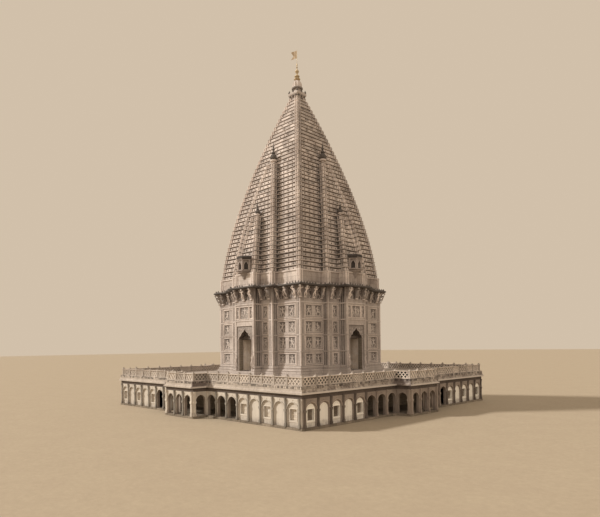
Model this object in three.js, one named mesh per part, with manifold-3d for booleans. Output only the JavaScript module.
import * as THREE from 'three';
import { mergeVertices } from 'three/addons/utils/BufferGeometryUtils.js';
import Module from 'manifold-3d';

// A Hindu temple: a redented tower with a tall curved spire, on a terrace that an arcade carries.
// Millimetres, +Z up. The origin is on the ground, on the tower's axis, and the front faces -Y.
// The plan is the same on all four sides, so each side piece is made once, for the front,
// and each corner piece once, for the corner between the front and the right (+X) side.

const wasm = await Module();
wasm.setup();

const GAP = 0.3;
const PAST = 50;
const MERGE_TOLERANCE = 0.001;
const SIDES = ['front', 'right', 'back', 'left'];
const CORNERS = ['front_right', 'back_right', 'back_left', 'front_left'];
const QUARTER_TURN = Math.PI / 2;

// Plan of the ground storey: 8 bays, a porch of 3 bays, and 8 bays on each side
const BAY = 1180;
const PORCH_BAYS = 3;
const OPEN_BAYS = 3;
const CLOSED_BAYS = 5;
const CORNER_PIER = 190;
const PORCH_OUT = 1200;
const PORCH_HALF = PORCH_BAYS * BAY / 2;
const OPEN_END = PORCH_HALF + OPEN_BAYS * BAY;
const MAIN_HALF = OPEN_END + CLOSED_BAYS * BAY + CORNER_PIER;
const PORCH_REACH = MAIN_HALF + PORCH_OUT;
const ARCADE_WALL = 220;
const CORE_HALF = 9000;

// Heights of the ground storey
const PLINTH_TOP = 150;
const PLINTH_STEP = 60;
const ARCADE_TOP = 2140;
const CORNICE_DROP = 100;
const CORNICE_TOP = 2330;
const FRIEZE_BASE = 2460;
const TERRACE = 2630;
const CORNICE_REACH = 150;
const FRIEZE_REACH = 70;
const EDGE_REACH = 40;

// Arches and windows of the ground storey
const ARCH_HALF = 480;
const PORCH_ARCH_HALF = 415;
const PORCH_ARCH_PITCH = 1110;
const ARCH_SPRING = 1200;
const ARCH_CROWN = 1660;
const RECESS = 60;
const WINDOW_HALF = 290;
const WINDOW_SILL = 550;
const WINDOW_HEAD = 1240;
const SHUTTER = 40;

// Half of a cusped arch, from springing to crown, as shares of its half width and its rise: pointed
// for the doorways and niches, nearly round for the arcade
const CUSPS = [[1, 0], [0.88, 0.24], [0.66, 0.34], [0.52, 0.6], [0.26, 0.7], [0, 1]];
const ROUND_CUSPS = [[1, 0], [0.94, 0.36], [0.78, 0.6], [0.54, 0.82], [0.26, 0.92], [0, 1]];

// Balustrade of the terrace
const RAIL_INSET = 150;
const RAIL_THICK = 120;
const RAIL_TOP = 3180;
const POST_HALF = 100;
const POST_TOP = 3250;
const KNOB_TOP = 3330;
const KNOB_TIP_HALF = 12;

// Plan of the tower: corner faces, a first step out and a centre step out on each side
const CORNER_HALF = 5000;
const STEP_HALF = 2500;
const STEP_OUT = 600;
const CENTRE_HALF = 1150;
const CENTRE_OUT = 1360;
const CHAMBER_HALF = 3600;

// Heights of the tower
const SILL = 3050;
const BASE_LEDGE = 2840;
const BASE_REACH = 350;
const BASE_LEDGE_REACH = 270;
const FOOT_LEVELS = [[3250, 170], [3270, 90], [3480, 90], [3500, 0]];
const DOOR_HEAD = 6600;
const WALL_TOP = 9700;
const EAVE_TOP = 9860;
const EAVE_REACH = 420;
const EAVE_LIP = 470;
const BAND_TOP = 11000;

// Doorways
const JAMB_HALF = 930;
const DOOR_HALF = 780;
const DOOR_SPRING = 5650;
const DOOR_CROWN = 6480;
const SURROUND_DEPTH = 400;
const TRANSOM_BASE = 5640;
const TRANSOM_TOP = 5800;
const TRANSOM_DEPTH = 200;
const STEP_BLOCKS = [[1030, 700, 2770], [950, 520, 2910]];

// Door leaves: they turn about pins set behind the surround, and stand open inwards
const PIN_X = 870;
const PIN_SETBACK = 510;
const PIN_RADIUS = 28;
const PIN_SIDES = 8;
const LEAF_THICK = 50;
const LEAF_MEETING = 6;
const LEAF_BASE = 3070;
const LEAF_TOP = 5600;
const LEAF_OPEN = 80 * Math.PI / 180;

// Brackets under the tower's eave: their places along a side, and their outline
const BRACKET_PLACES = [-3750, -2850, 2850, 3750];
const STEP_BRACKET_PLACES = [-1850, 1850];
const CENTRE_BRACKET_PLACES = [-900, 0, 900];
const BRACKET_HALF = 80;
const BRACKET_FOOT = 8650;
const BRACKET_KNEE = 8950;
const BRACKET_WAIST = 170;
const BRACKET_NOSE = 9500;
const BRACKET_REACH = 390;

// Spire: level courses, whose half width falls from the spring to the top along one power curve
const COURSE = 370;
const SPIRE_COURSES = 44;
const SPIRE_TOP = BAND_TOP + SPIRE_COURSES * COURSE;
const SPIRE_SPRING = 10050;
const SPIRE_FOOT_HALF = 4920;
const SPIRE_TOP_HALF = 353;
const SPIRE_POWER = 1.5;
const SPIRE_WALL = 1200;
const SHAFT_COURSES = 32;
const SHAFT_STEP = 8;
const LEVEL_STEP = 2;

// Ledge over each course of the main spire, as heights above the course's foot, and how far it stands
// out; it stops a little short of the half spires
const LEDGE_FOOT = 275;
const LEDGE_NOSE = 315;
const LEDGE_TOP = 355;
const LEDGE_REACH = 105;
const LEDGE_CLEARANCE = 30;

// Half spires on each side: a tall one, and a lower one in front of it
const TALL_INSET = 2370;
const TALL_OUT = 620;
const TALL_OUT_AT_TOP = 500;
const TALL_COURSES = 26;
const LOW_INSET = 3720;
const LOW_OUT = 740;
const LOW_OUT_AT_TOP = 500;
const LOW_COURSES = 13;

// Crown of the tall half spire: neck, slab, ribbed ring, small ring, ball and tip, as heights above
// its last course and radii; the low half spire's is smaller
const CROWN_SIDES = 8;
const CROWN_PROFILE = [[-PAST, 140], [250, 140], [260, 240], [350, 240], [360, 170], [440, 265], [640, 265],
  [740, 110], [900, 160], [1060, 135], [1140, 50], [1270, 95], [1390, 35], [1480, 60], [1900, 12]];
const LOW_CROWN_SCALE = 0.68;

// Oriels at the foot of the low half spires
const ORIEL_FRONT_HALF = 290;
const ORIEL_SIDE_HALF = 720;
const ORIEL_OUT = 430;
const ORIEL_LEVELS = [[10500, 0.12], [10850, 0.5], [BAND_TOP, 0.73], [11080, 0.86], [11150, 1],
  [BAND_TOP + LEVEL_STEP * COURSE, 1], [12060, 1], [12080, 1.14], [12200, 1.18], [12330, 0.9]];
const ORIEL_NICHE_HALF = 170;
const ORIEL_NICHE_BASE = 11250;
const ORIEL_NICHE_SPRING = 11600;
const ORIEL_NICHE_CROWN = 11900;
const ORIEL_NICHE_DEPTH = 160;

// Crown of the spire
const ABACUS_HALF = 580;
const ABACUS_WAIST = 500;
const ABACUS_SLOPE = 150;
const ABACUS_TOP = 27720;
const NECK_RADIUS = 345;
const NECK_TOP = 27990;
const NECK_SIDES = 24;
const DOME_SIDES = 24;
const DOME_RIB = 0.035;
const DOME_PROFILE = [[27990, 470], [28030, 500], [28130, 500], [28135, 430], [28300, 440], [28520, 410],
  [28680, 330], [28800, 180]];
const FINIAL_SIDES = 12;
const ROD_RADIUS = 15;
const ROD_TOP = 31600;
const FINIAL_PROFILE = [[28800, 120], [28890, 120], [28900, 285], [28960, 285], [29060, 120], [29150, 230],
  [29230, 230], [29340, 80], [29470, 80], [29630, 176], [29800, 50], [29960, 45], [30010, 75], [30060, 38],
  [30150, 38], [30230, 65], [30380, ROD_RADIUS], [ROD_TOP, ROD_RADIUS]];

// Pennant on the rod of the finial
const PENNANT_FROM = 30750;
const PENNANT_TO = 31500;
const PENNANT_LENGTH = 520;
const PENNANT_THICK = 12;
const PENNANT_HEADING = 7 * Math.PI / 6;

const COLOURS = {
  sandstone: 0xb59b78,
  carved: 0xa88f6d,
  plaster: 0xcbbb9c,
  masonry: 0x9a8669,
  wood: 0x5a4632,
  metal: 0xb08d4f,
  cloth: 0xd8c9a8,
};

const temple = new THREE.Group();

// Solids from geometry and back

function solidOf(geometry) {
  const bare = geometry.clone();
  bare.deleteAttribute('normal');
  bare.deleteAttribute('uv');
  const merged = mergeVertices(bare, MERGE_TOLERANCE);
  return new wasm.Manifold(new wasm.Mesh({
    numProp: 3,
    vertProperties: new Float32Array(merged.attributes.position.array),
    triVerts: new Uint32Array(merged.index.array),
  }));
}

function geometryOf(solid) {
  const mesh = solid.getMesh();
  const geometry = new THREE.BufferGeometry();
  geometry.setAttribute('position', new THREE.BufferAttribute(mesh.vertProperties, 3));
  geometry.setIndex(new THREE.BufferAttribute(mesh.triVerts, 1));
  geometry.computeVertexNormals();
  return geometry;
}

function joined(geometries) {
  return geometries.map(solidOf).reduce((whole, piece) => whole.add(piece));
}

function cut(solid, cutters) {
  return cutters.map(solidOf).reduce((left, cutter) => left.subtract(cutter), solid);
}

// Basic shapes

function block([x0, x1], [y0, y1], [z0, z1]) {
  const geometry = new THREE.BoxGeometry(x1 - x0, y1 - y0, z1 - z0);
  return geometry.translate((x0 + x1) / 2, (y0 + y1) / 2, (z0 + z1) / 2);
}

function outlineShape(points) {
  return new THREE.Shape(points.map(([x, y]) => new THREE.Vector2(x, y)));
}

/** Prism of an x-z outline that runs from y = front back to y = back. */
function prism(points, front, back) {
  const depth = back - front;
  const geometry = new THREE.ExtrudeGeometry(outlineShape(points), { depth, bevelEnabled: false });
  return geometry.rotateX(QUARTER_TURN).translate(0, back, 0);
}

/** Closed solid through level outlines [z, points], whose points all turn counterclockwise. */
function loft(levels) {
  const count = levels[0][1].length;
  const positions = levels.flatMap(([z, points]) => points.flatMap(([x, y]) => [x, y, z]));
  const index = [];
  for (let level = 0; level < levels.length - 1; level += 1) {
    for (let i = 0; i < count; i += 1) {
      const next = (i + 1) % count;
      const [a, b] = [level * count + i, level * count + next];
      index.push(a, b, b + count, a, b + count, a + count);
    }
  }
  const contour = (points) => points.map(([x, y]) => new THREE.Vector2(x, y));
  const last = (levels.length - 1) * count;
  for (const [a, b, c] of THREE.ShapeUtils.triangulateShape(contour(levels[0][1]), [])) {
    index.push(c, b, a);
  }
  for (const [a, b, c] of THREE.ShapeUtils.triangulateShape(contour(levels.at(-1)[1]), [])) {
    index.push(last + a, last + b, last + c);
  }
  const geometry = new THREE.BufferGeometry();
  geometry.setAttribute('position', new THREE.Float32BufferAttribute(positions, 3));
  geometry.setIndex(index);
  geometry.computeVertexNormals();
  return geometry;
}

function square(half) {
  return [[-half, -half], [half, -half], [half, half], [-half, half]];
}

/** Round solid about the Z axis from [z, radius] points; ribs make its radius swell and sink. */
function turned(profile, sides, ribs = 0) {
  const ring = (radius) => Array.from({ length: sides }, (_, i) => {
    const swell = i % 2 ? radius : radius * (1 - ribs);
    const angle = i * 2 * Math.PI / sides;
    return [swell * Math.cos(angle), swell * Math.sin(angle)];
  });
  return loft(profile.map(([z, radius]) => [z, ring(radius)]));
}

/** Quarter of an outline repeated on all four sides, counterclockwise from the front. */
function fourSided(quarter) {
  const turn = ([x, y], times) => (times === 0 ? [x, y] : turn([-y, x], times - 1));
  return [0, 1, 2, 3].flatMap((times) => quarter.map((point) => turn(point, times)));
}

function archPoints(centre, half, bottom, spring, crown, cusps = CUSPS) {
  const rise = crown - spring;
  const right = cusps.map(([across, up]) => [centre + half * across, spring + rise * up]);
  const left = cusps.slice(0, -1).reverse()
    .map(([across, up]) => [centre - half * across, spring + rise * up]);
  return [[centre - half, bottom], [centre + half, bottom], ...right, ...left];
}

function place(name, geometry, colour, roughness, quarter = 0, metalness = 0) {
  const material = new THREE.MeshStandardMaterial({ color: colour, roughness, metalness });
  const mesh = new THREE.Mesh(geometry, material);
  mesh.name = name;
  const turnedGroup = new THREE.Group();
  turnedGroup.rotation.z = quarter * QUARTER_TURN;
  turnedGroup.add(mesh);
  temple.add(turnedGroup);
}

// Outlines in plan

function terraceOutline(reach) {
  const main = MAIN_HALF + reach;
  const porch = PORCH_HALF + reach;
  const out = PORCH_REACH + reach;
  return fourSided([[-porch, -main], [-porch, -out], [porch, -out], [porch, -main], [main, -main]]);
}

function towerOutline(reach) {
  const face = CORNER_HALF + reach;
  const step = CORNER_HALF + STEP_OUT + reach;
  const centre = CORNER_HALF + CENTRE_OUT + reach;
  const [stepSide, centreSide] = [STEP_HALF + reach, CENTRE_HALF + reach];
  return fourSided([
    [-stepSide, -face], [-stepSide, -step], [-centreSide, -step], [-centreSide, -centre],
    [centreSide, -centre], [centreSide, -step], [stepSide, -step], [stepSide, -face], [face, -face],
  ]);
}

// Ground storey

function plinth() {
  const outline = terraceOutline(PLINTH_STEP);
  return loft([[0, outline], [PLINTH_TOP, outline]]);
}

function platformCore() {
  return block([-CORE_HALF, CORE_HALF], [-CORE_HALF, CORE_HALF], [PLINTH_TOP + GAP, ARCADE_TOP - GAP]);
}

function bayCentres(start, count) {
  return Array.from({ length: count }, (_, i) => start + (i + 0.5) * BAY);
}

/** The same shape on the right side, where x and y have changed places. */
function mirroredToRight(geometry) {
  const swap = new THREE.Matrix4().set(0, -1, 0, 0, -1, 0, 0, 0, 0, 0, 1, 0, 0, 0, 0, 1);
  const swapped = geometry.clone().applyMatrix4(swap);
  if (!swapped.index) {
    swapped.setIndex([...Array(swapped.attributes.position.count).keys()]);
  }
  const index = swapped.index.array;
  for (let i = 0; i < index.length; i += 3) {
    [index[i], index[i + 1]] = [index[i + 1], index[i]];
  }
  return swapped;
}

/** Closed bays around the front right corner: blind arches, and a window in every other one. */
function cornerWall() {
  const [inner, outer, end] = [MAIN_HALF - ARCADE_WALL, MAIN_HALF, OPEN_END + GAP];
  const heights = [PLINTH_TOP + GAP, ARCADE_TOP - GAP];
  const wall = joined([
    block([end, outer], [-outer, -inner], heights),
    block([inner, outer], [-outer, -end], heights),
  ]);
  const cutters = bayCentres(OPEN_END, CLOSED_BAYS).flatMap((centre, i) => {
    const arch = archPoints(centre, ARCH_HALF, PLINTH_TOP, ARCH_SPRING, ARCH_CROWN, ROUND_CUSPS);
    const recess = prism(arch, -outer - PAST, -outer + RECESS);
    const window = block(
      [centre - WINDOW_HALF, centre + WINDOW_HALF],
      [-outer, -inner + PAST],
      [WINDOW_SILL, WINDOW_HEAD],
    );
    return i % 2 ? [recess] : [recess, window];
  });
  const otherFace = cutters.map((cutter) => mirroredToRight(cutter));
  return geometryOf(cut(wall, [...cutters, ...otherFace]));
}

/** Sheet of closed shutters behind the windows of one corner. */
function shutters() {
  const outer = MAIN_HALF - ARCADE_WALL - GAP;
  const inner = outer - SHUTTER;
  const start = OPEN_END + BAY / 2 - WINDOW_HALF - PAST;
  const heights = [WINDOW_SILL - PAST, WINDOW_HEAD + PAST];
  return geometryOf(joined([
    block([start, outer], [-outer, -inner], heights),
    block([inner, outer], [-outer, -start], heights),
  ]));
}

/** Open arches of the front: three bays, the porch with its two returns, and three bays. */
function arcade() {
  const heights = [PLINTH_TOP + GAP, ARCADE_TOP - GAP];
  const porchIn = PORCH_HALF - ARCADE_WALL;
  const lineIn = MAIN_HALF - ARCADE_WALL;
  const frontIn = PORCH_REACH - ARCADE_WALL;
  const runs = [
    block([-PORCH_HALF, PORCH_HALF], [-PORCH_REACH, -frontIn], heights),
    block([-PORCH_HALF, -porchIn], [-PORCH_REACH, -lineIn], heights),
    block([porchIn, PORCH_HALF], [-PORCH_REACH, -lineIn], heights),
    block([-OPEN_END, -porchIn], [-MAIN_HALF, -lineIn], heights),
    block([porchIn, OPEN_END], [-MAIN_HALF, -lineIn], heights),
  ];
  const arch = (centre, half) => (
    archPoints(centre, half, PLINTH_TOP - PAST, ARCH_SPRING, ARCH_CROWN, ROUND_CUSPS)
  );
  const wings = [...bayCentres(PORCH_HALF, OPEN_BAYS), ...bayCentres(-OPEN_END, OPEN_BAYS)];
  const porchArches = [-PORCH_ARCH_PITCH, 0, PORCH_ARCH_PITCH].map((x) => arch(x, PORCH_ARCH_HALF));
  const pier = PORCH_HALF - PORCH_ARCH_PITCH - PORCH_ARCH_HALF;
  const returnArch = arch(-PORCH_REACH + pier + PORCH_ARCH_HALF, PORCH_ARCH_HALF);
  const cutters = [
    ...porchArches.map((outline) => prism(outline, -PORCH_REACH - PAST, -frontIn + PAST)),
    ...wings.map((x) => prism(arch(x, ARCH_HALF), -MAIN_HALF - PAST, -lineIn + PAST)),
    prism(returnArch, -PORCH_HALF - PAST, PORCH_HALF + PAST).rotateZ(QUARTER_TURN),
  ];
  return geometryOf(cut(joined(runs), cutters));
}

/** Floor of the terrace with the cornice and frieze along its edge. */
function terraceFloor() {
  const levels = [
    [ARCADE_TOP, CORNICE_REACH],
    [ARCADE_TOP + CORNICE_DROP, CORNICE_REACH],
    [CORNICE_TOP, FRIEZE_REACH],
    [FRIEZE_BASE, FRIEZE_REACH],
    [FRIEZE_BASE, EDGE_REACH],
    [TERRACE, EDGE_REACH],
  ];
  return loft(levels.map(([z, reach]) => [z, terraceOutline(reach)]));
}

function post(x, y) {
  const ring = (half) => square(half).map(([dx, dy]) => [x + dx, y + dy]);
  return loft([
    [TERRACE + GAP, ring(POST_HALF)],
    [POST_TOP, ring(POST_HALF)],
    [KNOB_TOP, ring(KNOB_TIP_HALF)],
  ]);
}

/** Balustrade of the front, round its porch, up to the right corner and its post. */
function balustrade() {
  const line = MAIN_HALF - RAIL_INSET;
  const [porch, out] = [PORCH_HALF - RAIL_INSET, PORCH_REACH - RAIL_INSET];
  const half = RAIL_THICK / 2;
  const heights = [TERRACE + GAP, RAIL_TOP];
  const leftEnd = -line + POST_HALF + GAP;
  const runs = [
    block([leftEnd, -porch + half], [-line - half, -line + half], heights),
    block([-porch - half, -porch + half], [-out - half, -line + half], heights),
    block([-porch - half, porch + half], [-out - half, -out + half], heights),
    block([porch - half, porch + half], [-out - half, -line + half], heights),
    block([porch - half, line], [-line - half, -line + half], heights),
  ];
  const posts = [[line, -line], [-porch, -line], [porch, -line], [-porch, -out], [porch, -out]];
  const sideBays = OPEN_BAYS + CLOSED_BAYS;
  for (let i = 1; i < sideBays; i += 1) {
    const x = PORCH_HALF + i * BAY;
    posts.push([-x, -line], [x, -line]);
  }
  posts.push([-BAY / 2, -out], [BAY / 2, -out]);
  return geometryOf(joined([...runs, ...posts.map(([x, y]) => post(x, y))]));
}

// Tower

/** Solid floor of the tower with its first mouldings, and the steps before each door. */
function towerBase() {
  const low = towerOutline(BASE_REACH);
  const high = towerOutline(BASE_LEDGE_REACH);
  const foot = TERRACE + GAP;
  const slab = loft([[foot, low], [BASE_LEDGE, low], [BASE_LEDGE, high], [SILL, high]]);
  const face = CORNER_HALF + CENTRE_OUT;
  const steps = STEP_BLOCKS.flatMap(([half, reach, top]) => [
    block([-half, half], [-face - reach, face + reach], [foot, top]),
    block([-face - reach, face + reach], [-half, half], [foot, top]),
  ]);
  return geometryOf(joined([slab, ...steps]));
}

/** Masonry of the front right corner, from the front doorway round to the right doorway. */
function cornerMass() {
  const outline = (reach) => {
    const face = CORNER_HALF + reach;
    const step = CORNER_HALF + STEP_OUT + reach;
    const centre = CORNER_HALF + CENTRE_OUT + reach;
    const [stepSide, centreSide] = [STEP_HALF + reach, CENTRE_HALF + reach];
    return [
      [JAMB_HALF, -centre], [centreSide, -centre], [centreSide, -step], [stepSide, -step], [stepSide, -face],
      [face, -face], [face, -stepSide], [step, -stepSide], [step, -centreSide], [centre, -centreSide],
      [centre, -JAMB_HALF], [CHAMBER_HALF, -JAMB_HALF],
      [CHAMBER_HALF, -CHAMBER_HALF], [JAMB_HALF, -CHAMBER_HALF],
    ];
  };
  const levels = [[SILL + GAP, FOOT_LEVELS[0][1]], ...FOOT_LEVELS, [DOOR_HEAD - GAP, 0]];
  return loft(levels.map(([z, reach]) => [z, outline(reach)]));
}

/** Ring of masonry with the tower's outline and the square chamber left open inside. */
function ring(levels) {
  const outside = loft(levels.map(([z, reach]) => [z, towerOutline(reach)]));
  const [bottom, top] = [levels[0][0], levels.at(-1)[0]];
  const across = [-CHAMBER_HALF, CHAMBER_HALF];
  const hole = block(across, across, [bottom - PAST, top + PAST]);
  return cut(solidOf(outside), [hole]);
}

/** Stone surround of a doorway with its cusped arch, and the transom that the door pins turn in. */
function doorSurround() {
  const front = -(CORNER_HALF + CENTRE_OUT);
  const back = front + SURROUND_DEPTH;
  const half = JAMB_HALF - GAP;
  const opening = archPoints(0, DOOR_HALF, SILL - PAST, DOOR_SPRING, DOOR_CROWN);
  const plate = cut(
    solidOf(block([-half, half], [front, back], [SILL + GAP, DOOR_HEAD - GAP * 2])),
    [prism(opening, front - PAST, back + PAST)],
  );
  const transom = block([-half, half], [back - PAST, back + TRANSOM_DEPTH], [TRANSOM_BASE, TRANSOM_TOP]);
  return geometryOf(plate.add(solidOf(transom)));
}

/** One door leaf, made shut with its pin on the axis, and turned open about that pin. */
function doorLeaf(hand) {
  const reach = PIN_X - LEAF_MEETING;
  const half = LEAF_THICK / 2;
  const board = block([0, reach], [-half, half], [LEAF_BASE, LEAF_TOP]);
  const pin = turned([[SILL + GAP, PIN_RADIUS], [TRANSOM_BASE - GAP, PIN_RADIUS]], PIN_SIDES);
  const leaf = geometryOf(joined([board, pin]));
  const y = -(CORNER_HALF + CENTRE_OUT) + PIN_SETBACK;
  if (hand === 'left') {
    return leaf.rotateZ(LEAF_OPEN).translate(-PIN_X, y, 0);
  }
  return leaf.rotateZ(Math.PI - LEAF_OPEN).translate(PIN_X, y, 0);
}

/** Curved bracket whose back stands at x = 0, y = -face, made for the front. */
function bracket(x, face) {
  const top = WALL_TOP + GAP + PAST;
  const outline = [[GAP, BRACKET_FOOT], [BRACKET_WAIST, BRACKET_KNEE], [BRACKET_REACH, BRACKET_NOSE],
    [BRACKET_REACH, top], [GAP, top]];
  const depth = BRACKET_HALF * 2;
  const shape = new THREE.ExtrudeGeometry(outlineShape(outline), { depth, bevelEnabled: false });
  return shape.rotateX(QUARTER_TURN)
    .translate(0, BRACKET_HALF, 0)
    .rotateZ(-QUARTER_TURN)
    .translate(x, -face, 0);
}

/** Eave slab that follows the tower's steps, with the brackets that carry it. */
function towerEave() {
  const slab = ring([
    [WALL_TOP + GAP, EAVE_REACH],
    [WALL_TOP + GAP + PAST, EAVE_LIP],
    [EAVE_TOP, EAVE_REACH],
  ]);
  const step = CORNER_HALF + STEP_OUT;
  const centre = CORNER_HALF + CENTRE_OUT;
  const cornerBracket = bracket(0, CORNER_HALF * Math.SQRT2).rotateZ(QUARTER_TURN / 2);
  const brackets = [
    cornerBracket,
    ...BRACKET_PLACES.map((x) => bracket(x, CORNER_HALF)),
    ...STEP_BRACKET_PLACES.map((x) => bracket(x, step)),
    ...CENTRE_BRACKET_PLACES.map((x) => bracket(x, centre)),
  ];
  const all = [0, 1, 2, 3].flatMap(
    (times) => brackets.map((one) => one.clone().rotateZ(times * QUARTER_TURN)),
  );
  return geometryOf(all.map(solidOf).reduce((whole, one) => whole.add(one), slab));
}

// Spire

function spireHalf(z) {
  const share = Math.max(0, (z - SPIRE_SPRING) / (SPIRE_TOP - SPIRE_SPRING));
  return SPIRE_FOOT_HALF - (SPIRE_FOOT_HALF - SPIRE_TOP_HALF) * share ** SPIRE_POWER;
}

/** Heights of every step-th course joint and of the last one, from the band up. */
function courseHeights(courses, step) {
  const heights = [];
  for (let course = step; course < courses; course += step) {
    heights.push(BAND_TOP + course * COURSE);
  }
  return [...heights, BAND_TOP + courses * COURSE];
}

/** The ledges of the main spire on a core of its own shape, cut away where the half spires stand. */
function spireLedges() {
  const levels = [];
  for (let course = 0; course < SPIRE_COURSES; course += 1) {
    const base = BAND_TOP + course * COURSE;
    for (const [rise, reach] of [[LEDGE_FOOT, 0], [LEDGE_NOSE, LEDGE_REACH], [LEDGE_TOP, 0]]) {
      levels.push([base + rise, square(spireHalf(base + rise) - GAP + reach)]);
    }
  }
  const slots = [0, 1, 2, 3].map((times) => {
    const heights = [BAND_TOP, ...courseHeights(TALL_COURSES, LEVEL_STEP)];
    const slot = loft(heights.map((z) => {
      const half = spireHalf(z) - TALL_INSET + LEDGE_CLEARANCE;
      const [near, far] = [spireHalf(z) + PAST + LEDGE_REACH, spireHalf(z) - PAST - GAP];
      return [z, [[-half, -near], [half, -near], [half, -far], [-half, -far]]];
    }));
    return slot.rotateZ(times * QUARTER_TURN);
  });
  return cut(solidOf(loft(levels)), slots);
}

/** The main spire with its ledges, and a shaft inside that narrows with it. */
function mainSpire() {
  const outer = [BAND_TOP + GAP, ...courseHeights(SPIRE_COURSES, LEVEL_STEP)];
  const inner = [BAND_TOP - PAST, ...courseHeights(SHAFT_COURSES, SHAFT_STEP)];
  const outside = loft(outer.map((z) => [z, square(spireHalf(z))]));
  const shaft = loft(inner.map((z) => [z, square(spireHalf(z) - SPIRE_WALL)]));
  return geometryOf(cut(solidOf(outside).add(spireLedges()), [shaft]));
}

function tallFace(z) {
  const share = (z - BAND_TOP) / (TALL_COURSES * COURSE);
  return spireHalf(z) + GAP + TALL_OUT + (TALL_OUT_AT_TOP - TALL_OUT) * share;
}

function lowFace(z) {
  const share = (z - BAND_TOP) / (LOW_COURSES * COURSE);
  return tallFace(z) + GAP + LOW_OUT + (LOW_OUT_AT_TOP - LOW_OUT) * share;
}

/** The low half spire's face as it is modelled, straight between its levels. */
function lowFaceBetweenLevels(z) {
  const step = LEVEL_STEP * COURSE;
  const below = BAND_TOP + Math.floor((z - BAND_TOP) / step) * step;
  const share = (z - below) / step;
  return lowFace(below) * (1 - share) + lowFace(below + step) * share;
}

/** Half spire on the front, between the face behind it and its own face, with its crown. */
function halfSpire(inset, courses, backAt, faceAt, crownScale) {
  const levels = [BAND_TOP + GAP, ...courseHeights(courses, LEVEL_STEP)].map((z) => {
    const half = spireHalf(z) - inset;
    const [back, face] = [backAt(z) + GAP, faceAt(z)];
    return [z, [[-half, -face], [half, -face], [half, -back], [-half, -back]]];
  });
  const top = BAND_TOP + courses * COURSE;
  const centre = -(backAt(top) + faceAt(top)) / 2;
  const profile = CROWN_PROFILE.map(([rise, radius]) => [top + rise * crownScale, radius * crownScale]);
  return geometryOf(joined([loft(levels), turned(profile, CROWN_SIDES).translate(0, centre, 0)]));
}

/** Three-sided oriel with an arched niche in each face, on a corbel that tapers to a point. */
function oriel() {
  const bandFace = CORNER_HALF + CENTRE_OUT;
  const levels = ORIEL_LEVELS.flatMap(([z, share]) => {
    const [side, front, out] = [ORIEL_SIDE_HALF * share, ORIEL_FRONT_HALF * share, ORIEL_OUT * share];
    const levelAt = (height, wall) => (
      [height, [[-side, -wall], [-front, -bandFace - out], [front, -bandFace - out], [side, -wall]]]
    );
    if (z < BAND_TOP) {
      return [levelAt(z, bandFace + GAP)];
    }
    const above = levelAt(z + GAP, lowFaceBetweenLevels(z) + GAP);
    return z === BAND_TOP ? [levelAt(z + GAP, bandFace + GAP), above] : [above];
  });
  const niche = archPoints(0, ORIEL_NICHE_HALF, ORIEL_NICHE_BASE, ORIEL_NICHE_SPRING, ORIEL_NICHE_CROWN);
  const front = prism(niche, -bandFace - ORIEL_OUT - PAST, -bandFace - ORIEL_OUT + ORIEL_NICHE_DEPTH);
  const sideDistance = (ORIEL_SIDE_HALF - ORIEL_FRONT_HALF + PAST) / Math.SQRT2;
  const slanted = (hand) => prism(niche, -sideDistance / 2, ORIEL_NICHE_DEPTH / 2)
    .rotateZ(hand * QUARTER_TURN / 2)
    .translate(hand * (ORIEL_SIDE_HALF + ORIEL_FRONT_HALF) / 2, -bandFace - ORIEL_OUT / 2, 0);
  return geometryOf(cut(solidOf(loft(levels)), [front, slanted(1), slanted(-1)]));
}

function spireAbacus() {
  const plate = loft([
    [SPIRE_TOP + GAP, square(ABACUS_WAIST)],
    [SPIRE_TOP + ABACUS_SLOPE, square(ABACUS_HALF)],
    [ABACUS_TOP - ABACUS_SLOPE, square(ABACUS_HALF)],
    [ABACUS_TOP, square(ABACUS_WAIST)],
  ]);
  const neck = turned([[ABACUS_TOP - PAST, NECK_RADIUS], [NECK_TOP - GAP, NECK_RADIUS]], NECK_SIDES);
  return geometryOf(joined([plate, neck]));
}

function finial() {
  const profile = FINIAL_PROFILE.map(([z, radius], i) => [i === 0 ? z + GAP : z, radius]);
  return turned(profile, FINIAL_SIDES);
}

function pennant() {
  const half = PENNANT_THICK / 2;
  const hoist = ROD_RADIUS + GAP;
  const cloth = block([hoist, hoist + PENNANT_LENGTH], [-half, half], [PENNANT_FROM, PENNANT_TO]);
  return cloth.rotateZ(PENNANT_HEADING);
}

// Assembly

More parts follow.
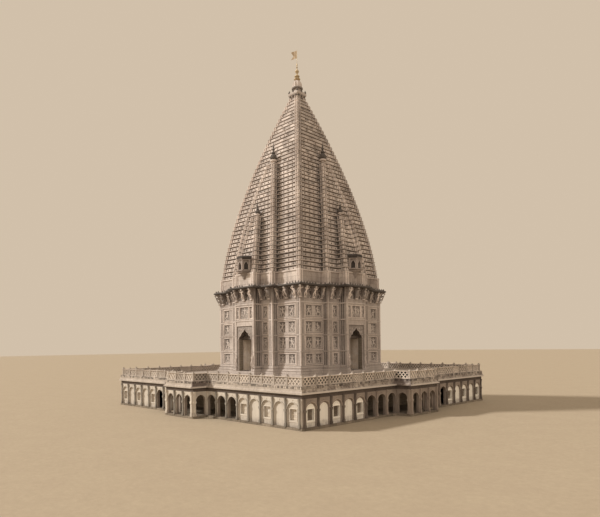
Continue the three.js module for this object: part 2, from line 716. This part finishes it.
place('plinth', plinth(), COLOURS.masonry, 0.95);
place('platform_core', platformCore(), COLOURS.masonry, 0.95);
place('terrace_floor', terraceFloor(), COLOURS.plaster, 0.9);
place('tower_base', towerBase(), COLOURS.sandstone, 0.9);
place('upper_wall', geometryOf(ring([[DOOR_HEAD, 0], [WALL_TOP, 0]])), COLOURS.sandstone, 0.88);
place('tower_eave', towerEave(), COLOURS.carved, 0.88);
place('spire_band', geometryOf(ring([[EAVE_TOP + GAP, 0], [BAND_TOP, 0]])), COLOURS.sandstone, 0.88);
place('main_spire', mainSpire(), COLOURS.carved, 0.9);
place('spire_abacus', spireAbacus(), COLOURS.carved, 0.85);
place('crown_dome', turned(DOME_PROFILE, DOME_SIDES, DOME_RIB), COLOURS.carved, 0.8);
place('finial', finial(), COLOURS.metal, 0.4, 0, 0.9);
place('pennant', pennant(), COLOURS.cloth, 0.95);

CORNERS.forEach((corner, quarter) => {
  place(`${corner}_arcade_wall`, cornerWall(), COLOURS.plaster, 0.9, quarter);
  place(`${corner}_shutters`, shutters(), COLOURS.wood, 0.75, quarter);
  place(`${corner}_tower_wall`, cornerMass(), COLOURS.sandstone, 0.88, quarter);
});

SIDES.forEach((side, quarter) => {
  place(`${side}_arcade`, arcade(), COLOURS.plaster, 0.9, quarter);
  place(`${side}_balustrade`, balustrade(), COLOURS.plaster, 0.9, quarter);
  place(`${side}_door_surround`, doorSurround(), COLOURS.carved, 0.85, quarter);
  place(`${side}_door_left_leaf`, doorLeaf('left'), COLOURS.wood, 0.7, quarter);
  place(`${side}_door_right_leaf`, doorLeaf('right'), COLOURS.wood, 0.7, quarter);
  const tall = halfSpire(TALL_INSET, TALL_COURSES, spireHalf, tallFace, 1);
  const low = halfSpire(LOW_INSET, LOW_COURSES, tallFace, lowFace, LOW_CROWN_SCALE);
  place(`${side}_tall_half_spire`, tall, COLOURS.carved, 0.9, quarter);
  place(`${side}_low_half_spire`, low, COLOURS.carved, 0.9, quarter);
  place(`${side}_oriel`, oriel(), COLOURS.carved, 0.88, quarter);
});

export default temple;
